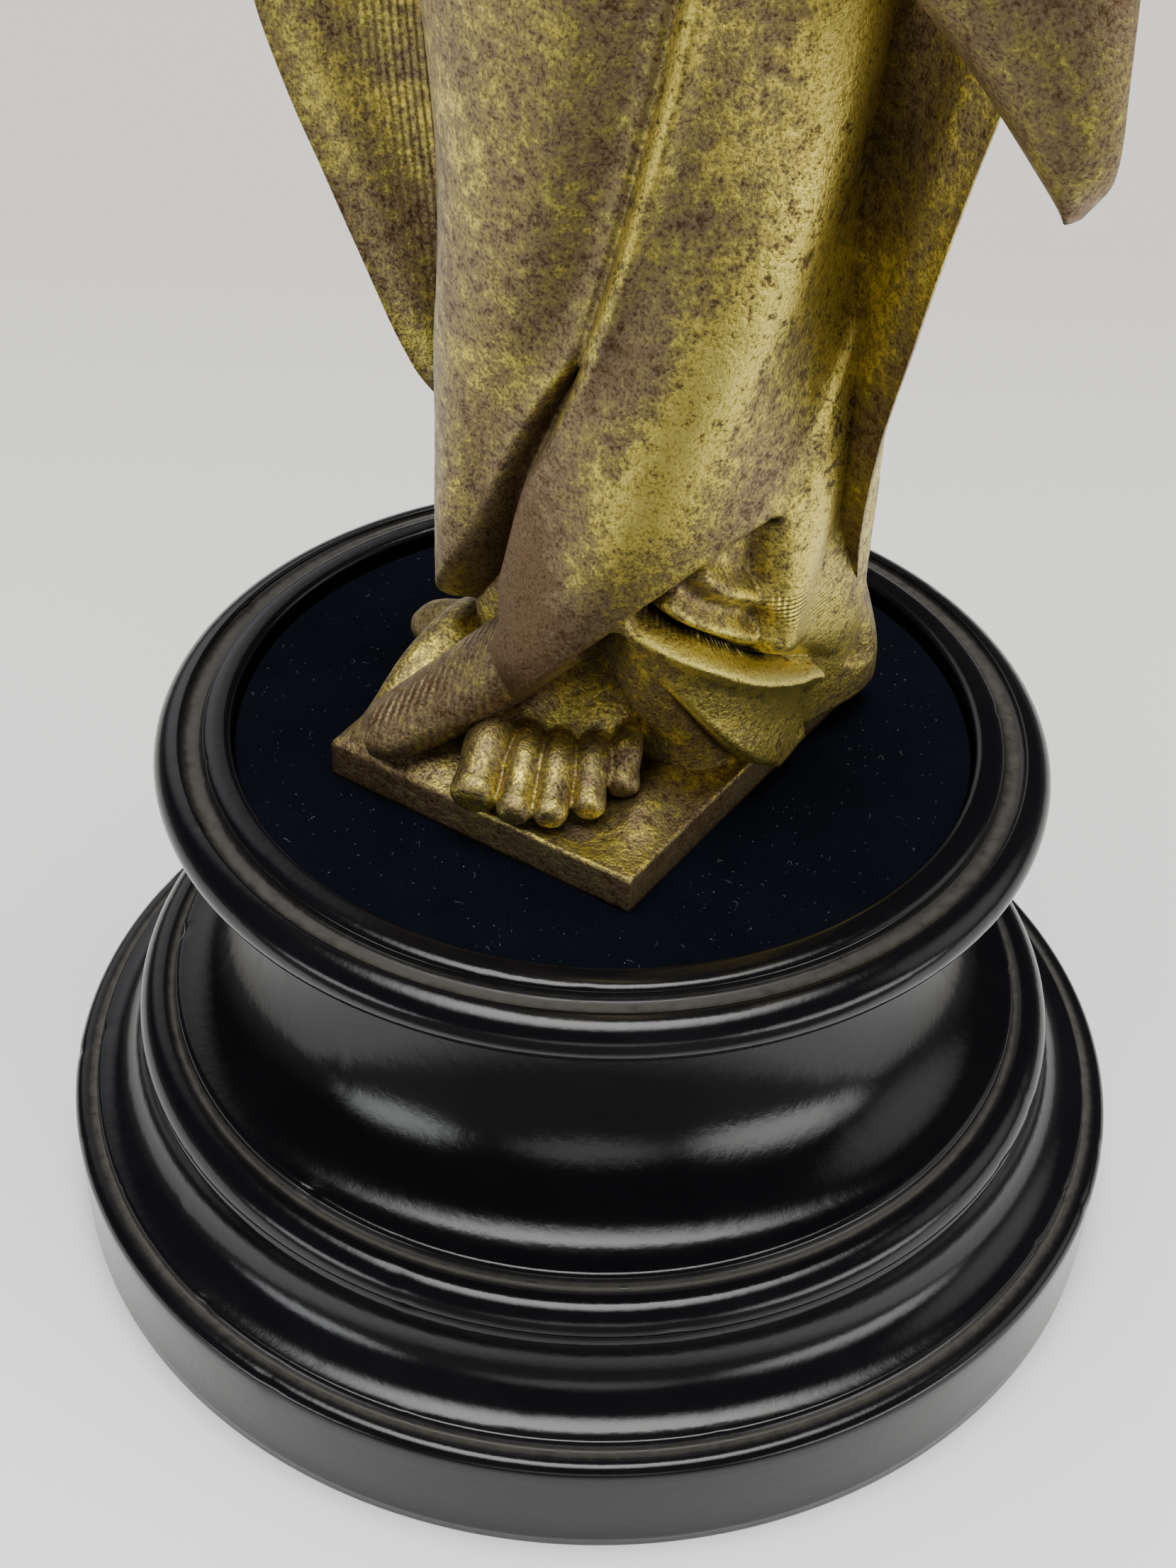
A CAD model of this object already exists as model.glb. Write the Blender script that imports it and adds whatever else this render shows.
"""Bronze angel with folded hands on a turned ebonised socle with a velvet top."""
import math

import bpy
import numpy as np
from mathutils import Matrix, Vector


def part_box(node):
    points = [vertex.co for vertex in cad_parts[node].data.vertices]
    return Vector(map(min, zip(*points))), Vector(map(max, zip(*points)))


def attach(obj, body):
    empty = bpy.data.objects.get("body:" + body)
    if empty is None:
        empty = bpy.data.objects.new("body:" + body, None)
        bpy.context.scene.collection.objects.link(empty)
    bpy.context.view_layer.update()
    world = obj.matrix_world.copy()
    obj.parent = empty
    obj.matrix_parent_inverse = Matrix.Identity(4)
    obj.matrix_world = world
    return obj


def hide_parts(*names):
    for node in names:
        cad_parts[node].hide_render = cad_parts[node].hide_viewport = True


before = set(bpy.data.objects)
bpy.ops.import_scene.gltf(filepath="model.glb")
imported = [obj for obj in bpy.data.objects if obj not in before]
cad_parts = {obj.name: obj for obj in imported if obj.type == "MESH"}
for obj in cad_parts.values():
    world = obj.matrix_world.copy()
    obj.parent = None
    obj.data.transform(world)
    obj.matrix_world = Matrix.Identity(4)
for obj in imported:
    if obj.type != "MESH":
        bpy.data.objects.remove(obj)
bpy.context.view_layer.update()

bl_info = {
    "name": "Bronze angel statue",
    "version": (1, 0, 0),
    "blender": (4, 5, 0),
    "location": "3D View > Sidebar > Angel",
    "description": "A gilt-bronze angel on an ebonised socle with a velvet top",
    "category": "Object",
}

MM = 0.001
SOCLE_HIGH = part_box("socle")[1]
PAD_LOW, PAD_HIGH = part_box("velvet_pad")
FIGURE_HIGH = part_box("angel")[1]
PAD_TOP = PAD_HIGH[2] / MM
PLINTH_HEIGHT = 6.2
PLINTH_MIDDLE = (0.6, -1.5)
PLINTH_TOP = PAD_TOP + PLINTH_HEIGHT
DRAWN_HEIGHT = 350.0
FIGURE_SCALE = (FIGURE_HIGH[2] / MM - PLINTH_TOP) / DRAWN_HEIGHT
CLOTH_RADIUS = 31.0
UP = np.array([0.0, 0.0, 1.0])
FORWARD = np.array([0.0, -1.0, 0.0])

# Lowest and highest level of each form, in drawn millimetres above the plinth
SKIRT_SPAN = (-0.8, 122)
BODICE_SPAN = (122, 306)
MANTLE_SPAN = (16, 288)
SLEEVE_SPAN = (102, 283)
HEAD_SPAN = (292, 350)


# Number helpers

def bell(distance, width):
    """One at zero, falling off like a Gaussian of the given width."""
    return np.exp(-(distance / width) ** 2)


def smoothstep(x, low, high):
    """Rises smoothly from 0 at low to 1 at high."""
    t = np.clip((x - low) / (high - low), 0.0, 1.0)
    return t * t * (3 - 2 * t)


def rolled(inside, width):
    """Height of a layer over the one below: a quarter circle from its edge up to 1."""
    return np.sqrt(1 - (1 - np.clip(inside / width, 0, 1)) ** 2)


def cover(below, layer, inside, width):
    """The lower layer, covered by the upper one where inside is positive."""
    return below + (layer - below) * rolled(inside, width)


def lerp(a, b, t):
    """Part t of the way from a to b."""
    return a + (b - a) * t


def lerp3(a, b, t):
    """A colour part of the way from one to another."""
    return tuple(lerp(x, y, t) for x, y in zip(a, b))


def unit(vectors):
    """The vectors, each made one long."""
    return vectors / np.linalg.norm(vectors, axis=-1, keepdims=True)


def profile(*keys):
    """A value that changes smoothly with height through [height, value] keys: cubic Hermite spans
    whose slopes are those of the chords across each key."""
    keys = np.array(keys, float)
    heights, values = keys[:, 0], keys[:, 1]
    last = len(keys) - 1

    def at(h):
        h = np.asarray(h, float)
        i = np.clip(np.searchsorted(heights, h, side="right") - 1, 0, last - 1)
        before, after = np.maximum(i - 1, 0), np.minimum(i + 2, last)
        slope0 = (values[i + 1] - values[before]) / (heights[i + 1] - heights[before])
        slope1 = (values[after] - values[i]) / (heights[after] - heights[i])
        span = heights[i + 1] - heights[i]
        t = np.clip((h - heights[i]) / span, 0, 1)
        curve = (2 * t**3 - 3 * t**2 + 1) * values[i] + (3 * t**2 - 2 * t**3) * values[i + 1]
        return curve + span * ((t**3 - 2 * t**2 + t) * slope0 + (t**3 - t**2) * slope1)
    return at


def spline(points, steps):
    """Points on the uniform Catmull-Rom curve through the given ones."""
    points = np.asarray(points, float)
    count = len(points) - 1
    place = np.linspace(0, count, steps + 1)
    i = np.minimum(place.astype(int), count - 1)
    t = (place - i)[:, None]
    p1, p2 = points[i], points[i + 1]
    p0, p3 = points[np.maximum(i - 1, 0)], points[np.minimum(i + 2, count)]
    v0, v1 = (p2 - p0) / 2, (p3 - p1) / 2
    return (2 * p1 - 2 * p2 + v0 + v1) * t**3 + (3 * p2 - 3 * p1 - 2 * v0 - v1) * t**2 + v0 * t + p1


def fold_line(*points):
    """Signed distance in mm on the cloth to a line through [angle in degrees, height] points,
    positive to the left of someone who walks along it."""
    flat = np.array(points, float)
    flat[:, 0] = np.radians(flat[:, 0]) * CLOTH_RADIUS
    line = spline(flat, 5 * len(points))

    def side(angle, h):
        x = np.radians(angle) * CLOTH_RADIUS
        nearest = np.full(np.shape(x), np.inf)
        sign = np.ones(np.shape(x))
        for (px, py), (qx, qy) in zip(line[:-1], line[1:]):
            dx, dy = qx - px, qy - py
            share = np.clip(((x - px) * dx + (h - py) * dy) / (dx * dx + dy * dy), 0, 1)
            away = np.hypot(x - px - share * dx, h - py - share * dy)
            closer = away < nearest
            nearest = np.where(closer, away, nearest)
            turn = np.where(dx * (h - py) - dy * (x - px) < 0, -1.0, 1.0)
            sign = np.where(closer, turn, sign)
        return sign * nearest
    return side


def grain(x, y, seed, octaves=3):
    """Smooth repeatable noise in about -1..1: sums of sine waves in scattered directions."""
    rng = np.random.default_rng(seed)
    total = np.zeros(np.broadcast(x, y).shape)
    for octave in range(octaves):
        for _ in range(5):
            turn, shift = rng.uniform(0, 2 * math.pi, 2)
            pitch = 2.0 ** octave * rng.uniform(0.7, 1.4)
            total += np.sin(pitch * (x * math.cos(turn) + y * math.sin(turn)) + shift) / 2.0 ** octave
    return total / 5


# Mesh helpers

def new_piece(name, points, faces, slot, node, material, **marks):
    """A closed mesh piece in metres that rides on the object and stands for its node. The marks are
    values for each point that the finish reads: relief is below zero in a hollow and above on a
    crest, gilt tells how much more gold than usual is kept, tooled and punched where the chaser
    cut lines and punched dots."""
    mesh = bpy.data.meshes.new(name)
    mesh.from_pydata((np.asarray(points) * MM).tolist(), [], [list(map(int, f)) for f in faces])
    mesh.validate()
    mesh.polygons.foreach_set("use_smooth", np.ones(len(mesh.polygons), bool))
    for key, given in marks.items():
        attribute = mesh.attributes.new(key, "FLOAT", "POINT")
        values = np.zeros(len(mesh.vertices), np.float32)
        values[:np.size(given)] = np.ravel(given)
        attribute.data.foreach_set("value", values)
    mesh.materials.append(material)
    piece = bpy.data.objects.new(name, mesh)
    bpy.context.scene.collection.objects.link(piece)
    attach(piece, "root")
    if node:
        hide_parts(node)
    return piece


def ring_faces(rows, columns):
    """Quads between rings of points that close on themselves, with a fan to a pole at each end.
    The poles are the two points after the last ring."""
    i, j = np.meshgrid(np.arange(rows - 1), np.arange(columns), indexing="ij")
    a = (i * columns + j).ravel()
    b = (i * columns + (j + 1) % columns).ravel()
    quads = np.stack([a, b, b + columns, a + columns], 1).tolist()
    j = np.arange(columns)
    k = (j + 1) % columns
    top = (rows - 1) * columns
    quads += np.stack([k, j, np.full(columns, rows * columns)], 1).tolist()
    quads += np.stack([top + j, top + k, np.full(columns, rows * columns + 1)], 1).tolist()
    return quads


def skin(rings):
    """Points and outward faces of a closed skin over rings[row, column, xyz]."""
    rows, columns = rings.shape[:2]
    points = np.concatenate([rings.reshape(-1, 3), rings[:1].mean(1), rings[-1:].mean(1)])
    faces = ring_faces(rows, columns)
    p, q, r, s = rings[:-1], np.roll(rings[:-1], -1, 1), np.roll(rings[1:], -1, 1), rings[1:]
    volume = (p * np.cross(q, r)).sum() + (p * np.cross(r, s)).sum()
    if volume < 0:
        faces = [face[::-1] for face in faces]
    return points, faces


def join(parts):
    """Several closed skins as one list of points and faces."""
    points, faces, offset = [], [], 0
    for part_points, part_faces in parts:
        points.append(part_points)
        faces += [[v + offset for v in face] for face in part_faces]
        offset += len(part_points)
    return np.concatenate(points), faces


def tube(path, half_width, half_depth, sides, up):
    """Elliptic sections square to a path, each with its own half width and half depth."""
    ahead = unit(np.gradient(path, axis=0))
    across = unit(np.cross(ahead, up))
    above = np.cross(across, ahead)
    turn = np.linspace(0, 2 * math.pi, sides, endpoint=False)[None, :, None]
    rings = (path[:, None] + across[:, None] * half_width[:, None, None] * np.cos(turn)
             + above[:, None] * half_depth[:, None, None] * np.sin(turn))
    return skin(rings)


def limb(keys, steps, sides, up):
    """A tube along a smooth path of [x, y, z, half width, half depth] keys."""
    path = spline(keys, steps)
    return tube(path[:, :3], path[:, 3], path[:, 4], sides, up)


def bronze_piece(name, skinned, material, **marks):
    """A piece of the casting, from points and faces in drawn millimetres above its plinth."""
    points, faces = skinned
    placed = points * FIGURE_SCALE + np.array([0, 0, PLINTH_TOP])
    return new_piece(name, placed, faces, "bronze", "angel", material, **marks)


def relief_of(heights, reach):
    """How far each grid value stands over the mean of its surroundings, on a grid that closes
    round its columns."""
    mean = heights.copy()
    for _ in range(reach):
        mean = (mean + np.roll(mean, 1, 1) + np.roll(mean, -1, 1)) / 3
        padded = np.pad(mean, ((1, 1), (0, 0)), mode="edge")
        mean = (padded[:-2] + padded[1:-1] + padded[2:]) / 3
    return heights - mean


# Gown: half width, half depth and middle of the body under the cloth, by height above the plinth

half_width = profile([0, 27.5], [20, 29.5], [60, 29.5], [110, 29.5], [150, 28], [203, 22],
                     [245, 26], [268, 33], [280, 36], [290, 24], [299, 10], [306, 8])
half_depth = profile([0, 26.5], [20, 28], [110, 27.5], [150, 25], [203, 18.5], [245, 21],
                     [268, 18], [280, 16], [290, 13], [299, 10], [306, 9])
middle_x = profile([0, 1.5], [110, 2], [203, 0], [306, 0])
middle_y = profile([0, 3.5], [110, 3.5], [203, 1], [245, 0], [280, 3], [306, 0])
squareness = profile([0, 3], [110, 2.8], [203, 2.2], [306, 2])

overfold_edge = fold_line([46, 195], [45, 150], [36, 119], [27.5, 97], [20, 81], [13, 70], [5, 60],
                          [-2, 53], [-6, 47], [-9.5, 40], [-12.5, 33], [-11.5, 27], [-18, 20], [-29, 13],
                          [-44, 5], [-60, -2])
pipe_edge = fold_line([46, 195], [45, 150], [36, 119], [27.5, 97], [20, 82], [10.5, 72.5], [1.5, 63],
                      [-5.5, 54.5], [-12.5, 46], [-19, 38], [-26, 31], [-36, 24], [-50, 18], [-75, 17],
                      [-110, 22], [-178, 27])
overfold_hem = fold_line([82, 50], [74, 47.5], [68, 46.5], [60, 45.5], [48.5, 42], [36, 36], [28.5, 31],
                         [18.5, 25], [8.5, 18], [-6.5, 9], [-20, 3], [-32, -1])
ridge = fold_line([95, 150], [90, 128], [84.5, 114], [78, 105], [72, 98], [65, 91], [58, 84], [50.5, 77],
                  [44.5, 70], [38.5, 62.5], [32, 53.5], [24.5, 43], [16, 32], [8, 22])
side_fold_edge = fold_line([122, 150], [118, 120], [110, 104], [99.5, 91.5], [92, 81], [84, 72],
                           [76, 63], [71, 54], [69.5, 46], [70, 36], [72, 20])
swag_top = fold_line([30, 36.5], [36, 34.5], [44, 32], [55, 28.5], [69.5, 23], [87.5, 17.5],
                     [96.5, 15.5], [112, 10])
swag_hem = fold_line([24, 38], [28.5, 32], [33, 26.5], [43, 20.5], [52, 14.5], [61.5, 8.5], [72.5, 2.5],
                     [82, -1])
inner_folds = (
    fold_line([48, 42], [56.5, 37.5], [66.5, 34.5], [80, 30]),
    fold_line([40, 37], [46, 34], [55.5, 31], [68.5, 27], [80, 24]),
)


def low_end(h):
    """One at the foot of the gown, fading to nothing at knee height."""
    return 1 - smoothstep(h, 45, 80)


def body_radius(angle, h):
    """Distance from the gown's axis to the body: a rounded rectangle, |x/a|^n + |y/b|^n = 1."""
    turn = np.radians(angle)
    n = squareness(h)
    across = np.abs(np.sin(turn)) / half_width(h)
    deep = np.abs(np.cos(turn)) / half_depth(h)
    low = 1 - smoothstep(h, 70, 130)
    corner = low * (4.4 * bell(angle - 134, 24) + 4 * bell(angle + 132, 24))
    slim = 6.2 * low * bell(angle + 62, 38)
    return (across**n + deep**n) ** (-1 / n) + corner - slim


def gown_radius(angle, h):
    """Distance from the gown's axis to the cloth: layers, each covering the one before, with
    rounded edges along the fold lines, then grooves cut in and the girdle laid on."""
    body = body_radius(angle, h)
    low = 1 - smoothstep(h, 185, 205)
    front = bell(angle - 15, 70)

    # Under-skirt, drawn in over the feet, and flared behind on the figure's left
    foot_hollow = bell(angle - 15, 42) * (1 - smoothstep(h, 22, 50))
    flare = 6.5 * bell(angle - 137, 16) * (1 - smoothstep(h, 0, 24))
    r = body - 5 * front * low - 9 * foot_hollow + flare
    r -= 1.6 * bell(angle - 128, 5) * smoothstep(h, 2, 30) * low
    r -= (2 * bell(angle + 95, 6) + 1.6 * bell(angle + 140, 7) + 1.6 * bell(angle - 168, 7)) * low

    # Small hanging folds between the overfold, the side fold and the swag
    down_swag = -swag_top(angle, h)
    hem = overfold_hem(angle, h)
    hanging = body - 4 + sum(3 * bell(line(angle, h), 2) for line in inner_folds)
    inside = np.minimum.reduce([-down_swag, hem, 2 + (angle - 20) / 5, (92 - angle) / 3])
    r = cover(r, hanging, inside, 2.5)

    # Swag: a roll with a crisp top edge, a hollow belly and a flat band under it
    swag = body + 2.1 * bell(down_swag - 1.4, 2.2) - 0.3 * bell(down_swag - 8, 3) + 0.8
    swag = swag + 1.6 * smoothstep(down_swag, 9, 18)
    on_swag = np.minimum.reduce([down_swag, swag_hem(angle, h), (104 - 0.3 * h - angle) / 1.2])
    r = cover(r, swag, on_swag, 2)

    # Vertical fold down the figure's left side, ending in a hem over the swag
    beside_edge = side_fold_edge(angle, h)
    crest = beside_edge - 3.5 - 8 * smoothstep(h, 22, 55)
    side_fold = body + 0.2 + 2.4 * bell(crest, 4.5 + 3.5 * smoothstep(h, 22, 55))
    inside = np.minimum.reduce([beside_edge, -down_swag - 1, (128 - angle) / 2, (195 - h) / 3])
    r = cover(r, side_fold, inside, 4.5)

    # Long pipe fold down the figure's right front
    beside_pipe = -pipe_edge(angle, h)
    full = 1 - smoothstep(angle, -34, -16)
    bulge = 2.6 * bell(beside_pipe - 19, 14) - 1.2 * bell(beside_pipe - 3, 6)
    pipe = body + 0.4 + lerp(bulge, 2.4, full * low_end(h))
    under = 4 * smoothstep(h, 45, 86)
    inside = np.minimum.reduce([beside_pipe + under, (angle + 150) / 2, (205 - h) / 3])
    r = cover(r, pipe, inside, 2.5)

    # Overfold that sweeps from the figure's left hip to its right foot
    beside_overfold = overfold_edge(angle, h)
    edge_roll = 1.5 * bell(beside_overfold - 1.8, 1.8) * smoothstep(h, 62, 84)
    edge_roll += 1.2 * bell(beside_overfold - 5, 5) * (1 - smoothstep(h, 55, 85))
    overfold = body + 0.4 + 3.6 * bell(ridge(angle, h), 8.5) + edge_roll
    inside = np.minimum.reduce([beside_overfold, -hem, (6 - beside_edge) / 2, (205 - h) / 3])
    r = cover(r, overfold, inside, 2.6)

    # Groove between pipe and overfold, higher up
    groove = 1.6 * bell(beside_overfold + 4, 4) + 0.9 * bell(beside_overfold + 0.3, 0.8)
    r -= groove * smoothstep(h, 60, 84) * low

    # Girdle, and the plainer folds of the bodice
    r += 2.2 * bell(h - 204, 4.5)
    bodice = smoothstep(h, 208, 222) * (1 - smoothstep(h, 262, 282))
    r += bodice * 1.1 * np.cos(np.radians(angle * 12))
    return np.maximum(r, 4)


def punched_band(angle, h):
    """The flat band of the swag below its rolled edge, where the ground is punched."""
    down = swag_top(angle, h)
    return smoothstep(down, 6.5, 9) * (1 - smoothstep(down, 20, 23)) * bell(angle - 68, 28) * (h < 34)


def stains(angle, h):
    """Two dark spots: one high on the overfold's ridge and one where its hem ends."""
    on_ridge = np.hypot((angle - 66.5) * 0.54 - (h - 89) * 0.4, (h - 89) * 0.7)
    at_hem = np.hypot((angle - 72) * 0.54, h - 46.5)
    return 2.5 * bell(on_ridge, 1.2) + 3 * bell(at_hem, 1.3)


def hatching(angle, h):
    """Short cuts of the chaser along the low left edge of the long pipe and over the rolled end."""
    pipe = bell(angle + 52, 9) * bell(h - 22, 14)
    return pipe + 0.8 * bell(angle - 2, 8) * bell(h - 17, 8)


def gown_points(angle, h):
    """Place of the cloth at an angle from the front and a height."""
    r = gown_radius(angle, h)
    turn = np.radians(angle)
    return np.stack([middle_x(h) + r * np.sin(turn), middle_y(h) - r * np.cos(turn), h + 0 * r], -1), r


def gown_rings(low, high, rows, columns):
    """Grid of the gown between two heights. Its columns run along the long folds and stand
    closer together over the drapery of the front and left."""
    h = np.linspace(low, high, rows)[:, None]
    share = np.arange(columns)[None, :] / columns
    angle = 360 * share - 180 + 34 * np.sin(2 * math.pi * share) + 30 + 0.8 * (np.minimum(h, 120) - 55)
    angle = (angle + 540) % 360 - 180
    h = h + 0 * angle
    return angle, h, *gown_points(angle, h)


def gilding(angle, h):
    """More gold along the long ridge, the groove, the swag's edge and the figure's left side, and
    less on the long pipe and over the low end and the hem of the overfold."""
    groove = bell(overfold_edge(angle, h) - 0.8, 1.6) * smoothstep(h, 55, 75)
    swag = bell(swag_top(angle, h) + 1, 1.4) * bell(angle - 62, 34)
    beside_crest = side_fold_edge(angle, h) - 4.5 - 4 * smoothstep(h, 22, 50)
    side = bell(beside_crest, 2) * (1 - smoothstep(h, 45, 62))
    pipe = 1 - smoothstep(pipe_edge(angle, h), -6, 2)
    low = smoothstep(h, 30, 80)
    left = 1.3 * bell(angle - 96, 24) * (1 - smoothstep(h, 100, 122))
    brown = bell(angle + 2, 24) * (1 - smoothstep(h, 30, 58))
    beside_hem = bell(overfold_edge(angle, h) - 5, 7) * (1 - smoothstep(h, 70, 105))
    gold = 1.9 * bell(ridge(angle, h), 6.5) * low + 1.3 * groove + 1.5 * swag + 0.8 * side + left
    return gold - 0.3 * pipe - 2.0 * brown - 1.1 * beside_hem


def make_gown(material):
    """The gown as two closed skins that meet under the hanging sleeves, finely uneven with wear."""
    for name, span, rows, columns in (
            ("gown_skirt", SKIRT_SPAN, 246, 400), ("gown_bodice", BODICE_SPAN, 90, 300)):
        angle, h, rings, r = gown_rings(*span, rows, columns)
        x = np.arctan2(rings[..., 0], -rings[..., 1]) * CLOTH_RADIUS
        level = rings[..., 2]
        wear = 0.10 * grain(x * 0.22, level * 0.22, 5) + 0.035 * grain(x * 1.3, level * 1.3, 6)
        out = unit(rings[..., :2] - rings[..., :2].mean(1, keepdims=True))
        rings[..., :2] += out * wear[..., None]
        bronze_piece(name, skin(rings), material, relief=relief_of(r, 10) - stains(angle, h),
                     gilt=gilding(angle, h), punched=punched_band(angle, h), tooled=hatching(angle, h))


# Mantle

mantle_left = profile([16, 30], [40, 36.5], [60, 41], [75, 45], [103, 52], [111, 54], [150, 62],
                      [200, 62], [250, 51], [276, 38], [288, 20])
mantle_right = profile([16, 28], [25, 37], [35, 43], [42, 44.6], [56, 47.8], [71, 52.7], [84, 57.5],
                       [100, 62], [150, 66], [200, 62], [250, 51], [276, 38], [288, 20])
mantle_edge_y = profile([16, 24], [40, 9], [70, 1], [104, -3], [200, -2], [276, 2], [288, 4])
mantle_back = profile([16, 31], [60, 36], [150, 38], [220, 34], [276, 24], [288, 12])
mantle_hollow = profile([16, 2], [60, 11], [200, 12], [276, 6], [288, 1])


def make_mantle(material):
    """A crescent round the back: x is the reach times a cosine, the back bulges as a power of a
    sine with pleats, and the front dips in behind the gown from a rounded edge."""
    rows, columns = 150, 260
    h = lerp(*MANTLE_SPAN, np.linspace(0, 1, rows) ** 1.15)[:, None]
    share = np.arange(columns)[None, :] / columns + 0 * h
    h = h + 0 * share
    back = share < 0.5
    t = np.where(back, share * 2, 2 - share * 2)
    swing = np.cos(math.pi * t)
    depth = np.sin(math.pi * t)
    out = np.abs(swing)
    reach = np.where(swing > 0, mantle_left(h), mantle_right(h))
    x = reach * np.sign(swing) * out ** np.where(back, 1, 0.8)
    edge = mantle_edge_y(h)
    pleat = 1.3 * np.cos(9 * math.pi * t) * depth
    chased = bell(out - 0.5, 0.22) * (1 - smoothstep(h, 130, 160)) * (swing < 0) * ~back
    back_y = edge + (mantle_back(h) - edge) * depth**1.5 + pleat
    front_y = edge + mantle_hollow(h) * (1 - out**2.2) - 1.2 * bell(out - 0.85, 0.1)
    y = np.where(back, back_y, front_y) + 0.12 * grain(x * 0.2, h * 0.2, 8)
    bronze_piece("mantle", skin(np.stack([x, y, h], -1)), material,
                 relief=np.where(back, pleat, -1.2 * bell(out - 0.5, 0.12)), tooled=chased)


# Hanging sleeves

sleeve_outer_x = profile([102, 67], [108, 70.5], [120, 71], [160, 68], [205, 62], [222, 57], [250, 51],
                         [272, 42], [283, 30])
sleeve_inner_x = profile([102, 65], [118, 53], [135, 40], [175, 23], [215, 12], [240, 8], [252, 22],
                         [272, 22], [283, 24])
sleeve_outer_y = profile([102, -6], [120, -9], [205, -7], [250, -1], [283, 3])
sleeve_inner_y = profile([102, -6], [118, -11], [135, -18], [175, -25], [215, -30], [240, -33],
                         [252, -16], [272, -6], [283, 2])
sleeve_half = profile([102, 0.7], [108, 2.4], [135, 3.6], [180, 5], [225, 9], [250, 11], [272, 11],
                      [283, 5])


def make_sleeve(side, material):
    """Flattened sections from the low tip to the shoulder: along is the place on the chord from
    the inner to the outer edge, and the wall stands off it by a sine with long folds."""
    rows, columns = 130, 110
    h = np.linspace(*SLEEVE_SPAN, rows)[:, None]
    turn = np.linspace(0, 2 * math.pi, columns, endpoint=False)[None, :]
    along = 0.5 + 0.5 * np.cos(turn) + 0 * h
    inner = np.stack([sleeve_inner_x(h), sleeve_inner_y(h)], -1)
    chord = np.stack([sleeve_outer_x(h), sleeve_outer_y(h)], -1) - inner
    normal = unit(np.stack([chord[..., 1], -chord[..., 0]], -1))
    long_fold = smoothstep(h, 110, 160) * (1 - smoothstep(h, 215, 245))
    fold = 1.2 * np.sin(along * 3 * math.pi) * long_fold
    off = sleeve_half(h) * np.sin(turn) + 2 * np.sin(along * math.pi) + fold
    flat = inner + chord * along[..., None] + normal * off[..., None]
    rings = np.stack([side * flat[..., 0], flat[..., 1], h + 0 * along], -1)
    bronze_piece("sleeve_left" if side > 0 else "sleeve_right", skin(rings), material,
                 relief=fold * np.sign(np.sin(turn)), gilt=-0.8 + 0 * fold)


# Hands

def make_hands(material):
    """Two palms pressed together, each a flattened limb, with thumbs and fingers parted by lines."""
    parts = []
    for side in (1, -1):
        parts.append(limb([[side * 9, -32, 238, 5.5, 6], [side * 4.5, -35.5, 247, 4, 5],
                           [side * 3, -37.5, 256, 2.8, 5.6], [side * 2.2, -39.5, 266, 2.4, 5.2],
                           [side * 1.8, -40.4, 270, 2, 4.4], [side * 1.4, -41, 273, 1, 3]], 40, 32, FORWARD))
        for finger in range(4):
            spread = (finger - 1.5) * 2.5
            reach = (282, 284.5, 283, 279)[finger]
            parts.append(limb([[side * 2.2, -39 + spread, 264, 1.7, 1.4],
                               [side * 1.9, -40.6 + spread * 0.85, 272, 1.6, 1.35],
                               [side * 1.5, -41.8 + spread * 0.7, 279, 1.3, 1.1],
                               [side * 1.2, -42.8 + spread * 0.6, reach, 0.5, 0.5]], 24, 16, FORWARD))
        parts.append(limb([[side * 3.4, -33, 254, 1.7, 2], [side * 2.6, -32.4, 262, 1.5, 1.7],
                           [side * 1.6, -33, 269, 0.8, 0.9]], 20, 18, FORWARD))
    bronze_piece("hands", join(parts), material)


# Head

head_width = profile([292, 8.5], [300, 8.5], [304, 10], [310, 13], [320, 15.5], [332, 16.5], [342, 14],
                     [348, 8], [350, 2])
head_front = profile([292, 8], [300, 8.5], [303, 13], [306, 17], [318, 18.5], [332, 18.5], [342, 15],
                     [348, 8], [350, 2])
head_back = profile([292, 12], [304, 15], [314, 17], [326, 20.5], [336, 20], [344, 15], [348, 9],
                    [350, 2])
HEAD_Y = -3.0


def head_radius(angle, h):
    """Distance from the head's axis: an oval, with the face's forms in front and hair round them."""
    turn = np.radians(angle)
    facing = np.where(np.abs(angle) < 90, head_front(h), head_back(h))
    oval = 1 / np.hypot(np.sin(turn) / head_width(h), np.cos(turn) / facing)
    face = 1 - smoothstep(np.hypot(angle / 58, (h - 319) / 19), 0.9, 1.1)
    aside = np.abs(angle) - 24
    nose = 3 * bell(angle, 7) * (1 - smoothstep(h, 316, 326)) * smoothstep(h, 312.5, 314.5)
    sockets = -1.6 * bell(aside, 11) * bell(h - 323.5, 2.6)
    lids = 0.8 * bell(aside, 8) * bell(h - 323, 1.6) - 0.25 * bell(aside, 9) * bell(h - 322.2, 0.35)
    lips = 0.9 * bell(angle, 12) * (bell(h - 310.8, 1) + bell(h - 308.6, 1.1))
    mouth = lips - 0.6 * bell(angle, 13) * bell(h - 309.7, 0.45)
    chin = 0.9 * bell(angle, 14) * bell(h - 304.5, 2)
    wave = angle * 9 + 40 * np.sin(h / 4.5)
    strands = 0.22 * np.cos(np.radians(angle * 45 + 220 * np.sin(h / 4.5)))
    hair = 2.4 + 0.7 * np.cos(np.radians(wave)) + strands
    hair_ends = smoothstep(h, 296, 306)
    return oval + face * (nose + sockets + lids + mouth + chin) + (1 - face) * hair * hair_ends


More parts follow.
